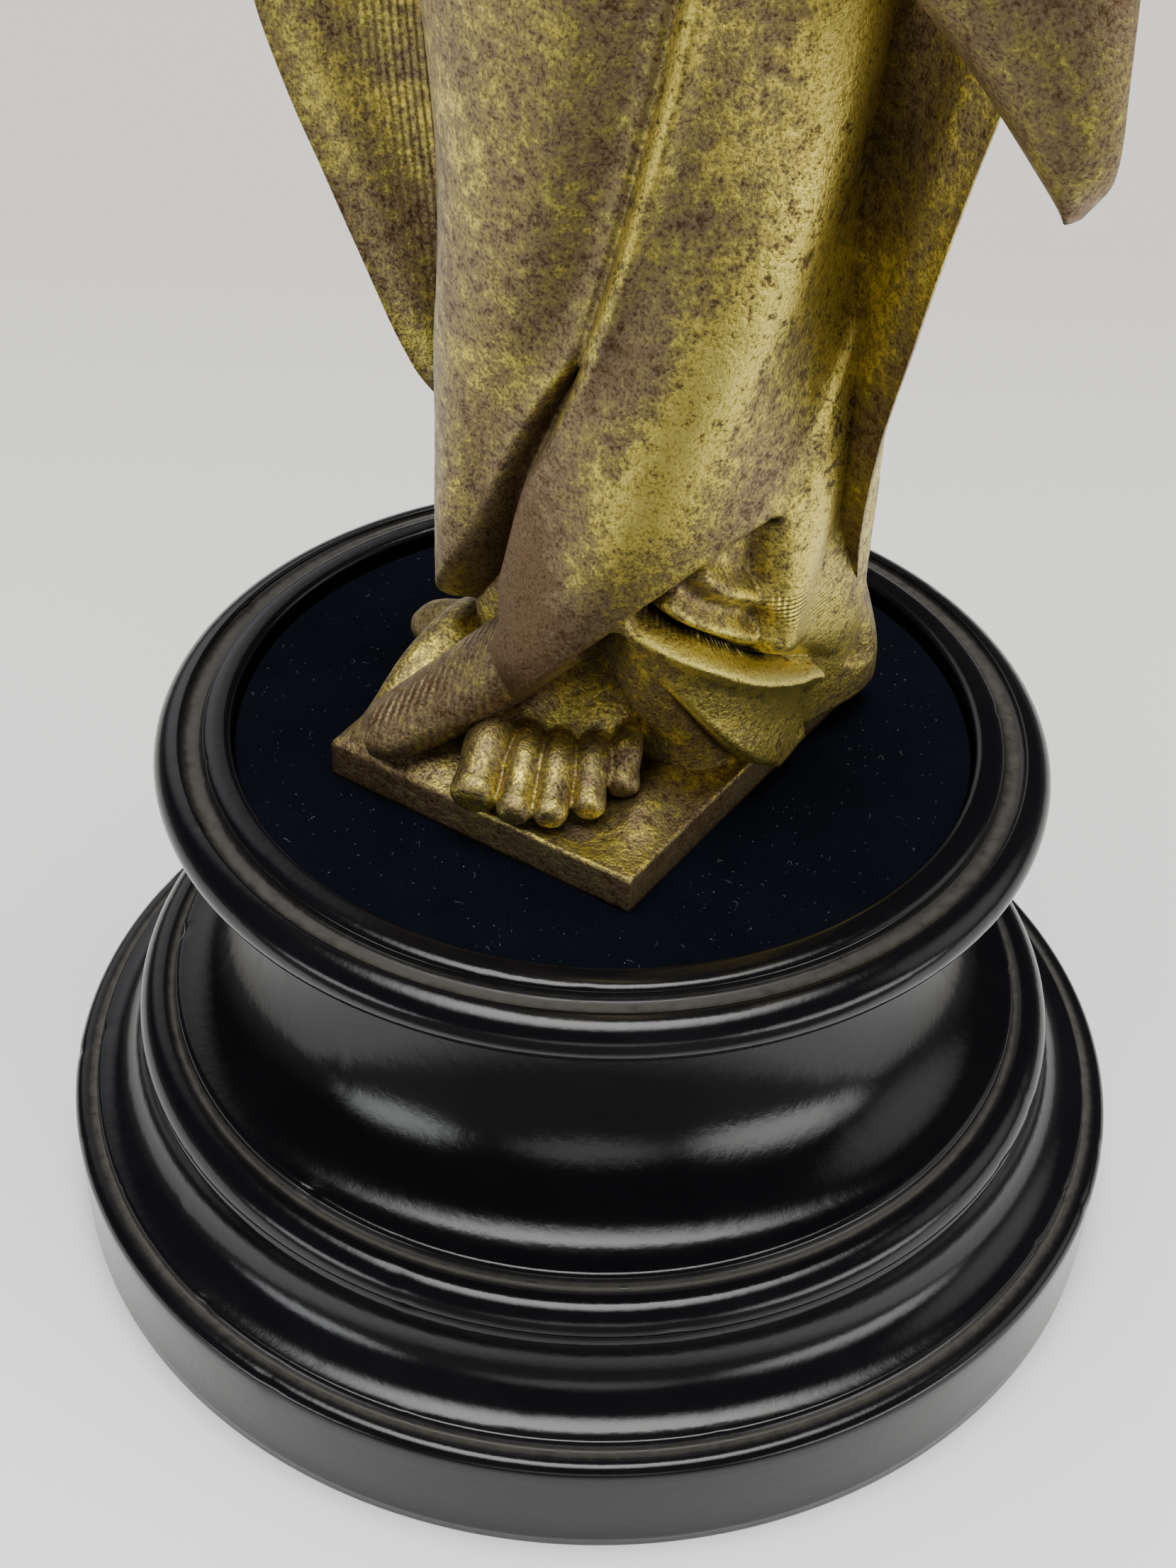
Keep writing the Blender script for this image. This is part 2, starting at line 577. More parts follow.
def make_head(material):
    """Level rings of the head's radius, closer together round the face."""
    rows, columns = 150, 220
    h = np.linspace(*HEAD_SPAN, rows)[:, None]
    share = np.arange(columns)[None, :] / columns
    angle = 360 * share - 180 + 22 * np.sin(2 * math.pi * share) + 0 * h
    r = head_radius(angle, h)
    turn = np.radians(angle)
    rings = np.stack([r * np.sin(turn), HEAD_Y - r * np.cos(turn), h + 0 * r], -1)
    bronze_piece("head", skin(rings), material, relief=relief_of(r, 9))


# Wings

wing_top = profile([0, 270], [0.25, 300], [0.5, 326], [0.68, 334], [0.85, 322], [1, 286])
wing_low = profile([0, 214], [0.3, 176], [0.6, 140], [0.8, 121], [0.93, 128], [1, 160])
wing_x = profile([0, 6], [0.5, 36], [1, 74])
wing_y = profile([0, 24], [0.18, 35], [0.5, 44], [1, 40])


def make_wing(side, material):
    """A swept plate: u runs out from the root and v up each feather. Feather rows are steps up in
    thickness, each feather a rounded rib with a quill and slanted barbs, and the low edge dips
    at each feather's tip."""
    columns, rows = 160, 100
    long_feathers, short_feathers = 6, 9
    u = np.linspace(0, 1, columns)[:, None]
    v = np.concatenate([np.linspace(0, 1, rows), np.linspace(1, 0, rows)[1:-1]])[None, :]
    face = np.concatenate([np.ones(rows), -np.ones(rows - 2)])[None, :]
    part = u * long_feathers
    rib = np.sin(math.pi * (part - np.floor(part)))
    h = lerp(wing_low(u) + 9 * (1 - rib), wing_top(u), v)
    rows_up = smoothstep(v, 0.52, 0.56) + smoothstep(v, 0.76, 0.80)
    short = np.sin(math.pi * ((u * short_feathers) % 1))
    shape = np.where(v < 0.54, rib, short)
    quill = 0.35 * bell(shape - 1, 0.03)
    barbs = 0.08 * np.sin(150 * v + 26 * shape)
    thick = (0.9 + 1.1 * rows_up + 0.9 * shape + quill + barbs) * (1 - 0.75 * np.abs(2 * u - 1) ** 6)
    rounded = np.sqrt(np.maximum(0, 1 - np.abs(2 * v - 1) ** 8))
    x = side * (wing_x(u) + 6 * bell(v - 0.7, 0.3) * u)
    rings = np.stack([x + 0 * v, wing_y(u) + 3 * v + face * thick * rounded, h], -1)
    bronze_piece("wing_left" if side > 0 else "wing_right", skin(rings), material,
                 relief=1.5 * (shape - 0.6) + 0 * v)


# Feet and the rolled end of the overfold

def fuse(piece, voxel, rounds):
    """Melt the overlapping skins of a piece into one surface and round its inner corners."""
    remesh = piece.modifiers.new("fuse", "REMESH")
    remesh.mode = "VOXEL"
    remesh.voxel_size = voxel * MM
    smooth = piece.modifiers.new("round", "SMOOTH")
    smooth.iterations = rounds
    smooth.factor = 0.5
    graph = bpy.context.evaluated_depsgraph_get()
    mesh = bpy.data.meshes.new_from_object(piece.evaluated_get(graph))
    piece.modifiers.clear()
    mesh.polygons.foreach_set("use_smooth", np.ones(len(mesh.polygons), bool))
    piece.data = mesh


def toe(root, tip, thick):
    """One toe: a limb that rises to its knuckle, pinches at the joints and comes down to a blunt
    tip, with a nail laid on it."""
    (rx, ry), (tx, ty) = root, tip

    def at(share, z, w, t):
        return [lerp(rx, tx, share), lerp(ry, ty, share), z, thick * w, thick * t]
    whole = limb([at(0, 6.4, 0.92, 0.9), at(0.3, 6.5, 0.98, 0.95), at(0.5, 6.0, 1, 1),
                  at(0.7, 4.6, 0.9, 0.85), at(0.88, 3.3, 0.96, 0.86), at(0.96, 2.8, 0.84, 0.74),
                  at(1, 2.6, 0.6, 0.5)], 40, 26, UP)
    nail = limb([at(0.84, 3.7 + 0.62 * thick, 0.5, 0.2), at(0.9, 3.3 + 0.64 * thick, 0.66, 0.26),
                 at(0.97, 2.9 + 0.58 * thick, 0.62, 0.26), at(1.0, 2.7 + 0.5 * thick, 0.5, 0.2)],
                12, 14, UP)
    return [whole, nail]


LEFT_TOES = (
    ((-4.2, -21), (1.2, -37), 3.9), ((0.8, -19.5), (8.0, -36.2), 2.9), ((4.8, -18), (12.8, -33.8), 2.8),
    ((8.8, -16), (16.4, -29), 2.7), ((12, -12.5), (17.8, -22), 2.7),
)


def make_feet(material):
    """The left foot, melted into one form with its five toes, and the right foot's great toe."""
    parts = [limb([[-6, 6, 12, 9, 12], [-2, -4, 10, 9.8, 10.5], [2.5, -13, 7.5, 10.4, 8],
                   [5, -19, 5, 10.4, 5], [6.3, -22.3, 3.6, 9.6, 3.2]], 40, 48, UP)]
    for each in LEFT_TOES:
        parts += toe(*each)
    fuse(bronze_piece("left_foot", join(parts), material), 0.3, 4)
    right = limb([[-14, -4, 8, 6, 5], [-22, -7, 7, 5, 4.4], [-27, -8, 6, 4.4, 4],
                  [-30, -8.6, 5, 2.2, 2.2]], 40, 32, UP)
    bronze_piece("right_toe", right, material)


def make_trail(material):
    """The rolled end of the overfold, a limb that trails over the plinth's front edge."""
    roll = limb([[4, -18, 25, 5.5, 6], [-3.5, -21, 17.5, 6.6, 6], [-9, -24.6, 11.8, 6.4, 5.8],
                 [-14.2, -29.4, 7.2, 5.8, 5.2], [-18, -33.4, 4.6, 4.8, 4.2],
                 [-19.8, -35.2, 3.8, 2.4, 2.4]], 120, 60, UP)
    everywhere = np.ones(len(roll[0]))
    bronze_piece("overfold_end", roll, material, tooled=0.7 * everywhere, gilt=-0.7 * everywhere)


# Plinth of the casting

def ground_level(x, y):
    """Height of the cast ground: a mound of cloth at the right foot and a ridge past the left one,
    flat at the plinth's edges."""
    inside = np.minimum.reduce([x + 27.6, 28.8 - x, y + 36, 33 - y])
    edge = smoothstep(inside, 0, 5)
    mound = 14.5 * bell(x + 18, 12) * bell(y + 9, 17)
    trail = 3.5 * bell(x + 22, 5) * bell(y + 24, 9)
    ridge_past = 2.6 * bell(x - 21 + (y + 22) * 0.25, 3.5) * bell(y + 18, 9)
    return edge * (mound + trail + ridge_past) - 0.5 * bell(x - 16, 7) * bell(y + 30, 5)


def make_plinth(settings, material):
    """A low block: the square ring of its outline, sampled finely, shrinks towards the middle of
    the top, where the ground's height is added. Its upper edge is chipped and its sides filed."""
    cells = 84
    width, depth = settings.plinth_width / MM, settings.plinth_depth / MM
    t = np.arange(cells) / cells
    u = np.concatenate([t, np.ones(cells), 1 - t, np.zeros(cells)]) - 0.5
    v = np.concatenate([np.zeros(cells), t, np.ones(cells), 1 - t]) - 0.5
    side_rows = 12
    shrink = np.concatenate([np.ones(side_rows), [0.992], np.linspace(0.98, 0.02, 70)])[:, None]
    middle_across, middle_deep = PLINTH_MIDDLE
    x = middle_across + u[None] * width * shrink
    y = middle_deep + v[None] * depth * shrink
    z = ground_level(x, y) + 0.06 * grain(x * 0.5, y * 0.5, 21)
    z[:side_rows] = np.linspace(-PLINTH_HEIGHT, -0.35, side_rows)[:, None]
    run = np.arange(4 * cells)[None] / cells
    chip = np.maximum(0, grain(run * 9, 0 * run, 31) - 0.25)
    z[side_rows - 1:side_rows + 1] -= 0.5 * chip
    filed = 0.05 * grain(run * 2, z[:side_rows] * 6, 33)
    scale_in = 1 - filed / width
    x[:side_rows] = middle_across + (x[:side_rows] - middle_across) * scale_in
    y[:side_rows] = middle_deep + (y[:side_rows] - middle_deep) * scale_in
    bronze_piece("plinth", skin(np.stack([x, y, z], -1)), material, gilt=np.where(z < -0.4, -1.2, 0.2))


# Socle and velvet

def arc(r, z, radius_r, radius_z, start, end, steps):
    """Points on part of an ellipse in the lathe's plane, angles in degrees from outward."""
    turn = np.radians(np.linspace(start, end, steps))
    return np.stack([r + radius_r * np.cos(turn), z + radius_z * np.sin(turn)], 1)


def socle_profile():
    """The turned outline from the axis at the underside to the axis at the recess floor, member
    by member, as the socle is turned."""
    foot = SOCLE_HIGH[0] / MM
    crest = SOCLE_HIGH[2] / MM
    floor = PAD_LOW[2] / MM
    recess = PAD_HIGH[0] / MM + 0.4
    step, cove, bead, flare, neck = foot - 4.2, foot - 12.8, foot - 12.6, foot - 19.2, foot - 38.2
    lip = recess + 4.6
    edge = lip + 3.3
    top = crest - 1.3
    under = top - 7.5
    neck_level = under - 11.5
    flare_level = neck_level - 31.1
    ledge = flare_level - 1.9
    bead_level = ledge - 4.3
    cove_top = bead_level - 3.7
    step_level = cove_top - 10.4
    foot_level = step_level - 1.4
    pieces = [
        [[0, 0], [foot - 1, 0], [foot - 0.3, 0.3]],
        arc(foot - 1.9, foot_level - 1.9, 1.9, 1.9, 0, 90, 10),
        [[step + 0.9, foot_level + 0.1], [step + 0.5, foot_level - 0.2],
         [step + 0.15, foot_level + 0.2]],
        arc(step, cove_top, -8.6, 10.4, -90, 0, 26),
        [[cove, bead_level - 0.4], [cove - 0.2, bead_level - 0.1]],
        arc(bead - 4.0, bead_level, 4.0, 4.3, 0, 90, 16),
        [[flare + 1.6, ledge + 0.1], [flare + 1.1, ledge - 0.35], [flare + 0.5, ledge],
         [flare + 0.2, ledge + 1]],
        arc(flare, neck_level, -19, 31.1, -90, 0, 34),
        [[neck, under - 1.5], [neck + 0.6, under - 0.2], [neck + 2, under]],
        arc(edge, under + 3.75, 4.4, 3.75, -86, 88, 30),
        [[edge + 0.1, top - 0.2], [edge - 0.2, top - 0.9], [edge - 1.2, top - 1.0], [lip + 0.6, top - 0.95],
         [lip + 0.2, top - 0.7], [lip, top - 0.1]],
        arc(lip - 2.2, crest - 1.1, 2.2, 1.1, 10, 90, 8),
        arc(recess + 1.2, crest - 0.9, -1.2, 0.9, 90, 0, 8),
        [[recess, crest - 1.6], [recess, floor + 0.2], [recess - 0.2, floor], [0, floor]],
    ]
    return np.concatenate([np.asarray(p, float) for p in pieces])


def make_socle(settings, material):
    """The outline turned about the vertical axis, with a slight waver and small knocks out of its
    arrises. Each long straight stretch is cut up so that knocks have somewhere to bite."""
    outline = socle_profile()
    steps = np.hypot(*np.diff(outline, axis=0).T)
    fine = [outline[:1]]
    for start, end, length in zip(outline[:-1], outline[1:], steps):
        cuts = max(1, int(min(length, 20) / 1.6))
        fine.append(start + (end - start) * (np.arange(1, cuts + 1)[:, None] / cuts))
    outline = np.concatenate(fine)[1:-1]
    sides = settings.turning_sides
    turn = np.linspace(0, 2 * math.pi, sides, endpoint=False)[None]
    r, z = outline[:, :1] + 0 * turn, outline[:, 1:] + 0 * turn
    bend = np.abs(np.gradient(np.arctan2(*np.gradient(outline, axis=0).T)))[:, None]
    sharp = np.clip(bend / 0.5, 0, 1)
    x, y = r * np.cos(turn), r * np.sin(turn)
    knock = np.maximum(0, grain(x * 0.5 + z * 0.3, y * 0.5, 41, 4) - 0.52) * (z > 4) * (r > 20)
    r = r - sharp * knock
    z = z - sharp * knock * 0.6
    rings = np.stack([r * np.cos(turn), r * np.sin(turn), z], -1)
    points, faces = skin(rings)
    points[-2:, :2] = 0
    new_piece("turned_socle", points, faces, "ebonised_wood", "socle", material)


def make_pad(material):
    """A disc whose face dips and swells a little, with its edge rounded down into the recess."""
    radius, low, high = PAD_HIGH[0] / MM, PAD_LOW[2] / MM, PAD_TOP
    edge = ((0.97, low), (0.995, low + 0.1), (1.0, low + 0.5), (1.0, high - 0.8), (0.997, high - 0.35),
            (0.99, high - 0.12), (0.978, high - 0.03))
    rings = 60
    shrink = np.concatenate([[share for share, _ in edge], np.linspace(0.965, 0.01, rings)])
    level = np.concatenate([[z for _, z in edge], np.full(rings, high)])
    turn = np.linspace(0, 2 * math.pi, 300, endpoint=False)[None]
    x, y = radius * shrink[:, None] * np.cos(turn), radius * shrink[:, None] * np.sin(turn)
    z = level[:, None] + 0 * turn
    z[len(edge):] -= 0.10 + 0.08 * grain(x[len(edge):] * 0.12, y[len(edge):] * 0.12, 51)
    points, faces = skin(np.stack([x, y, z], -1))
    new_piece("velvet_top", points, faces, "velvet", "velvet_pad", material)


def fibre(path, thick):
    """A hair-thin three-sided tube along a path, tapered to its ends."""
    taper = np.sin(np.linspace(0.25, math.pi - 0.25, len(path))) * thick
    return tube(path, taper, taper, 3, [0.1, 0.2, 1.0])


def make_lint(settings, material):
    """White fibres and specks on the velvet: short curled tubes with a seeded scatter over the disc,
    clear of the plinth."""
    rng = np.random.default_rng(settings.lint_seed)
    radius = PAD_HIGH[0] / MM - 2
    parts = []
    while len(parts) < settings.lint_count:
        r, place = radius * math.sqrt(rng.uniform(0.05, 1)), rng.uniform(0, 2 * math.pi)
        x, y = r * math.cos(place), r * math.sin(place)
        if abs(x - PLINTH_MIDDLE[0]) < 31 and abs(y - PLINTH_MIDDLE[1]) < 36:
            continue
        long_one = rng.uniform() < 0.12
        length = rng.uniform(1.0, 2.4) if long_one else rng.uniform(0.15, 0.6)
        t = np.linspace(0, 1, 8)
        heading, curl = rng.uniform(0, 2 * math.pi), rng.normal(0, 2.5 if long_one else 1.0)
        turn = heading + curl * t + 0.8 * np.sin(6 * t + heading)
        step = length / len(t)
        path = np.stack([x + np.cumsum(np.cos(turn)) * step, y + np.cumsum(np.sin(turn)) * step,
                         PAD_TOP + 0.02 + 0.12 * np.sin(math.pi * t)], 1)
        parts.append(fibre(path, rng.uniform(0.016, 0.026) if long_one else rng.uniform(0.02, 0.04)))
    points, faces = join(parts)
    new_piece("lint", points, faces, "velvet", None, material)


# Materials

def feed(tree, socket, value):
    """Link a socket into another one, or give that one a plain value."""
    if isinstance(value, bpy.types.NodeSocket):
        tree.links.new(value, socket)
    else:
        socket.default_value = value


def plug(tree, made, **values):
    """Feed a node's inputs by name, with underscores for the spaces."""
    for key, value in values.items():
        feed(tree, made.inputs[key.replace("_", " ")], value)


def node(tree, kind, **values):
    """A shader node with its properties and inputs set by name."""
    made = tree.nodes.new(kind)
    for key, value in values.items():
        if hasattr(made, key):
            setattr(made, key, value)
        else:
            plug(tree, made, **{key: value})
    return made


def object_place(tree):
    """Object coordinates, in metres."""
    return tree.nodes.new("ShaderNodeTexCoord").outputs["Object"]


def ramp(tree, source, *stops):
    """A colour ramp over a value, with (position, colour) stops."""
    made = tree.nodes.new("ShaderNodeValToRGB")
    band = made.color_ramp
    while len(band.elements) < len(stops):
        band.elements.new(0.5)
    for element, (position, colour) in zip(band.elements, stops):
        element.position = position
        element.color = (*colour, 1)
    tree.links.new(source, made.inputs[0])
    return made.outputs[0]


def mix(tree, factor, a, b, blend="MIX"):
    """Two colours, each plain or from a socket, mixed by a factor."""
    made = node(tree, "ShaderNodeMix", data_type="RGBA", blend_type=blend)
    for socket, value in ((made.inputs[0], factor), (made.inputs[6], a), (made.inputs[7], b)):
        feed(tree, socket, (*value, 1) if isinstance(value, tuple) else value)
    return made.outputs[2]


def maths(tree, operation, *values, clamp=False):
    """One sum over plain numbers and sockets."""
    made = node(tree, "ShaderNodeMath", operation=operation, use_clamp=clamp)
    for socket, value in zip(made.inputs, values):
        feed(tree, socket, value)
    return made.outputs[0]


def weighted(tree, start, *terms, clamp=False):
    """A plain number with (socket, factor) products added, kept within 0 to 1 if clamped."""
    total = start
    for count, (socket, factor) in enumerate(terms, 1):
        total = maths(tree, "MULTIPLY_ADD", socket, factor, total, clamp=clamp and count == len(terms))
    return total


def vector_maths(tree, operation, vector, other=(0, 0, 0)):
    """One vector sum: its vector, or for a dot product its number."""
    made = node(tree, "ShaderNodeVectorMath", operation=operation)
    feed(tree, made.inputs[0], vector)
    feed(tree, made.inputs["Scale" if operation == "SCALE" else 1], other)
    return made.outputs["Value" if operation == "DOT_PRODUCT" else "Vector"]


def noise(tree, place, scale, detail=4.0, roughness=0.55):
    """Fractal noise round a half, with the scale in features to the metre."""
    made = node(tree, "ShaderNodeTexNoise", Vector=place, Scale=scale, Detail=detail, Roughness=roughness)
    return made.outputs["Fac"]


def wave(tree, place, per_mm):
    """A sine over the distance along a direction, given in radians to the millimetre."""
    return maths(tree, "SINE", vector_maths(tree, "DOT_PRODUCT", place, tuple(v / MM for v in per_mm)))


def bump(tree, height, strength, distance):
    """The normal of a surface dented by a height."""
    return node(tree, "ShaderNodeBump", Strength=strength, Distance=distance, Height=height).outputs[0]


def mottle_group():
    """Shared mottling: three sizes of blotch on object coordinates, put out as masks from 0 to 1."""
    tree = bpy.data.node_groups.new("mottle", "ShaderNodeTree")
    tree.interface.new_socket("Scale", in_out="INPUT", socket_type="NodeSocketFloat")
    blotches = {"Broad": (48.0, 4.0), "Patch": (520.0, 6.0), "Speck": (1900.0, 3.0)}
    for name in blotches:
        tree.interface.new_socket(name, in_out="OUTPUT", socket_type="NodeSocketFloat")
    start, end = tree.nodes.new("NodeGroupInput"), tree.nodes.new("NodeGroupOutput")
    scaled = vector_maths(tree, "SCALE", object_place(tree), start.outputs["Scale"])
    for name, (size, detail) in blotches.items():
        feed(tree, end.inputs[name], noise(tree, scaled, size, detail, 0.62))
    return tree


def mottling(tree, scale=1.0):
    """The shared mottling placed in a material, as its masks by name."""
    group = bpy.data.node_groups.get("mottle") or mottle_group()
    return node(tree, "ShaderNodeGroup", node_tree=group, Scale=scale).outputs


def start_material(name):
    """A new material with its tree and its main shader."""
    material = bpy.data.materials.new(name)
    material.use_nodes = True
    tree = material.node_tree
    return material, tree, tree.nodes["Principled BSDF"]


def bronze_material():
    """Worn gilding on bronze: gold on crests and in polished hollows, mauve brown in patches, rust
    and soot in the hollows, dark pits, with a satin sheen that varies with the patina."""
    material, tree, shader = start_material("gilt_bronze")
    colours = bpy.context.scene.angel_finish
    gold, mauve, olive, rust = map(tuple, (colours.gold, colours.patina, colours.olive, colours.rust))
    masks = mottling(tree)
    broad, patch, speck = masks["Broad"], masks["Patch"], masks["Speck"]
    relief, gilt, tooled, punched = (
        node(tree, "ShaderNodeAttribute", attribute_name=name).outputs["Fac"]
        for name in ("relief", "gilt", "tooled", "punched"))

    # Colour, by how much gilding is kept
    kept = weighted(tree, -1.53, (broad, 1.6), (patch, 1.6), (speck, 0.9), (gilt, 0.3), (relief, 0.14))
    base = ramp(tree, kept, (0.0, lerp3(rust, mauve, 0.3)), (0.3, mauve), (0.47, lerp3(mauve, olive, 0.6)),
                (0.6, olive), (0.82, gold), (1.0, lerp3(gold, (0.85, 0.72, 0.2), 0.45)))
    hollow = weighted(tree, -0.315, (relief, -0.7), clamp=True)
    soot = maths(tree, "MULTIPLY", hollow, weighted(tree, 0.6, (gilt, -0.8)), clamp=True)
    base = mix(tree, soot, base, rust)
    deep = weighted(tree, -0.66, (relief, -0.6), clamp=True)
    base = mix(tree, deep, base, (0.02, 0.014, 0.006))
    pits = weighted(tree, 7.44, (patch, -7.8), (speck, -4.2), (broad, -4.2), clamp=True)
    base = mix(tree, maths(tree, "MULTIPLY", pits, 0.75), base, lerp3(rust, (0.03, 0.02, 0.012), 0.3))
    grain_dark = ramp(tree, speck, (0.36, (0.55, 0.5, 0.42)), (0.5, (1, 1, 1)))
    base = mix(tree, 0.8, base, grain_dark, "MULTIPLY")
    rough = ramp(tree, kept, (0.2, (0.52,) * 3), (0.7, (0.4,) * 3), (1.0, (0.3,) * 3))

    # Cast grain, the chaser's cuts and the punched dots
    place = object_place(tree)
    cuts = maths(tree, "MULTIPLY", wave(tree, place, (5.2, 0.6, 0.35)), tooled)
    dots = maths(tree, "MULTIPLY", wave(tree, place, (2.6, 2.2, -4.4)), wave(tree, place, (2.6, 2.2, 4.4)))
    dots = maths(tree, "MULTIPLY", dots, punched)
    height = weighted(tree, 0.0, (patch, 1.0), (speck, 0.6), (cuts, 0.45), (dots, 0.45))
    plug(tree, shader, Base_Color=base, Metallic=0.94, Roughness=rough,
         Normal=bump(tree, height, 0.8, 0.00032))
    return material


def ebony_material():
    """Black lacquer with a clear gloss, slightly uneven, and pale dust in the turned grooves."""
    material, tree, shader = start_material("ebonised_lacquer")
    colours = bpy.context.scene.angel_finish
    masks = mottling(tree)
    x, y, z = node(tree, "ShaderNodeSeparateXYZ", Vector=object_place(tree)).outputs
    reach = maths(tree, "SQRT", maths(tree, "ADD", *(maths(tree, "POWER", v, 2.0) for v in (x, y))))
    foot, crest = SOCLE_HIGH[0], SOCLE_HIGH[2]
    grooves = ((foot - 0.0034, crest - 0.0733, 0.0008), (foot - 0.0183, crest - 0.0535, 0.0007),
               (PAD_HIGH[0] + 0.0066, crest - 0.0023, 0.0014))
    dust = 0.0
    for radius, level, width in grooves:
        squares = []
        for value, middle, spread in ((reach, radius, width), (z, level, 0.0009)):
            away = maths(tree, "DIVIDE", maths(tree, "SUBTRACT", value, middle), spread)
            squares.append(maths(tree, "POWER", away, 2.0))
        spot = maths(tree, "EXPONENT", maths(tree, "MULTIPLY", maths(tree, "ADD", *squares), -1.0))
        dust = maths(tree, "MAXIMUM", dust, spot)
    patchy = maths(tree, "MULTIPLY", dust, maths(tree, "MULTIPLY", masks["Patch"], 1.6), clamp=True)
    film = ramp(tree, masks["Broad"], (0.45, (0, 0, 0)), (0.8, (0.05, 0.05, 0.05)))
    colour = mix(tree, patchy, tuple(colours.black), tuple(colours.dust))
    plug(tree, shader, Base_Color=mix(tree, 0.05, colour, film, "ADD"), Specular_IOR_Level=0.31,
         Roughness=weighted(tree, 0.09, (patchy, 0.6), (masks["Patch"], 0.08)),
         Normal=bump(tree, masks["Patch"], 0.12, 0.0003))
    return material


def velvet_material():
    """Very dark blue pile: fine speckle, brushed patches and a soft sheen."""
    material, tree, shader = start_material("blue_velvet")
    deep = tuple(bpy.context.scene.angel_finish.blue)
    pile = noise(tree, object_place(tree), 4200.0, 3.0, 0.7)
    colour = ramp(tree, pile, (0.35, deep), (0.7, lerp3(deep, (0.02, 0.03, 0.06), 0.3)))
    plug(tree, shader, Base_Color=mix(tree, mottling(tree, 2.2)["Broad"], colour, deep), Roughness=0.95,
         Specular_IOR_Level=0.06, Sheen_Weight=0.012, Sheen_Roughness=0.4,
         Normal=bump(tree, pile, 0.8, 0.0004))
    return material


def lint_material():
    """Greyish white fibre."""
    material, tree, shader = start_material("white_lint")
    fluff = noise(tree, object_place(tree), 900.0)
    plug(tree, shader, Roughness=0.8,
         Base_Color=ramp(tree, fluff, (0.3, (0.1, 0.11, 0.13)), (0.7, (0.45, 0.47, 0.5))))
    return material


def floor_material():
    """Pale board, a little darker and warmer far behind. In gloss it falls into shade ahead of the
    picture, where the viewer stands."""
    material, tree, shader = start_material("pale_floor")
    pale = tuple(bpy.context.scene.angel_stage.floor)
    warm = tuple(0.6 * c * tint for c, tint in zip(pale, (1.0, 0.97, 0.92)))
    ahead = vector_maths(tree, "DOT_PRODUCT", object_place(tree), TOWARDS_VIEWER)
    reach = maths(tree, "ADD", ahead, 0.5)
    seen = ramp(tree, reach, (0.15, warm), (0.47, tuple(0.82 * c for c in pale)), (0.59, pale))
    gloss = ramp(tree, reach, (0.608, (0, 0, 0)), (0.66, (0.9, 0.9, 0.9)))
    gloss = maths(tree, "MULTIPLY", gloss, tree.nodes.new("ShaderNodeLightPath").outputs["Is Glossy Ray"])
    plug(tree, shader, Base_Color=mix(tree, gloss, seen, (0.0, 0.0, 0.0)), Roughness=0.7)
    return material


MAKERS = {"gilt_bronze": bronze_material, "ebonised_lacquer": ebony_material,
          "blue_velvet": velvet_material, "white_lint": lint_material, "pale_floor": floor_material}


def finish(name):
    """The named material, made once."""
    return bpy.data.materials.get(name) or MAKERS[name]()


# Settings, operators and panel

class AngelSizes(bpy.types.PropertyGroup):
    plinth_width: bpy.props.FloatProperty(
        name="Plinth width", description="Width of the cast plinth", default=0.0544, unit="LENGTH")
    plinth_depth: bpy.props.FloatProperty(
        name="Plinth depth", description="Depth of the cast plinth", default=0.067, unit="LENGTH")
    turning_sides: bpy.props.IntProperty(
        name="Turning sides", description="Facets round the turned socle", default=400)
    lint_count: bpy.props.IntProperty(
        name="Lint", description="Number of fibres and specks on the velvet", default=420)
    lint_seed: bpy.props.IntProperty(
        name="Lint seed", description="Scatter of the fibres", default=7)


class AngelFinish(bpy.types.PropertyGroup):
    gold: bpy.props.FloatVectorProperty(
        name="Gold", description="Bright gilding", subtype="COLOR", size=3, default=(0.64, 0.52, 0.10))
    patina: bpy.props.FloatVectorProperty(
        name="Patina", description="Mauve brown patina", subtype="COLOR", size=3,
        default=(0.235, 0.17, 0.098))
    olive: bpy.props.FloatVectorProperty(
        name="Olive", description="Dull gilding", subtype="COLOR", size=3, default=(0.335, 0.27, 0.09))
    rust: bpy.props.FloatVectorProperty(
        name="Rust", description="Red brown in the hollows", subtype="COLOR", size=3,
        default=(0.16, 0.095, 0.045))
    black: bpy.props.FloatVectorProperty(
        name="Black", description="Ebonised wood", subtype="COLOR", size=3, default=(0.004, 0.004, 0.005))
    dust: bpy.props.FloatVectorProperty(
        name="Dust", description="Dust in the grooves", subtype="COLOR", size=3,
        default=(0.056, 0.051, 0.042))
    blue: bpy.props.FloatVectorProperty(
        name="Blue", description="Velvet", subtype="COLOR", size=3, default=(0.0008, 0.0013, 0.0034))


class AngelStage(bpy.types.PropertyGroup):
    place: bpy.props.FloatVectorProperty(
        name="Camera place", description="Place of the camera", subtype="XYZ", unit="LENGTH", size=3,
        default=(0.1593, -0.2490, 0.31792))
    lens: bpy.props.FloatProperty(
        name="Lens", description="Focal length for a 36 mm frame height", default=54.08)
    floor: bpy.props.FloatVectorProperty(
        name="Floor", description="Pale floor", subtype="COLOR", size=3, default=(0.97, 0.975, 0.975))
    light: bpy.props.FloatProperty(
        name="Light", description="Strength of the studio's light", default=1.0)


CAMERA_RIGHT = (0.82653, 0.56239, 0.02586)
CAMERA_UP = (-0.37216, 0.51132, 0.77466)
CAMERA_BACK = (0.42245, -0.64991, 0.63185)
TOWARDS_VIEWER = (0.545, -0.838, 0)
FLOOR_HALF = 3.0
FLOOR_CELLS = 8


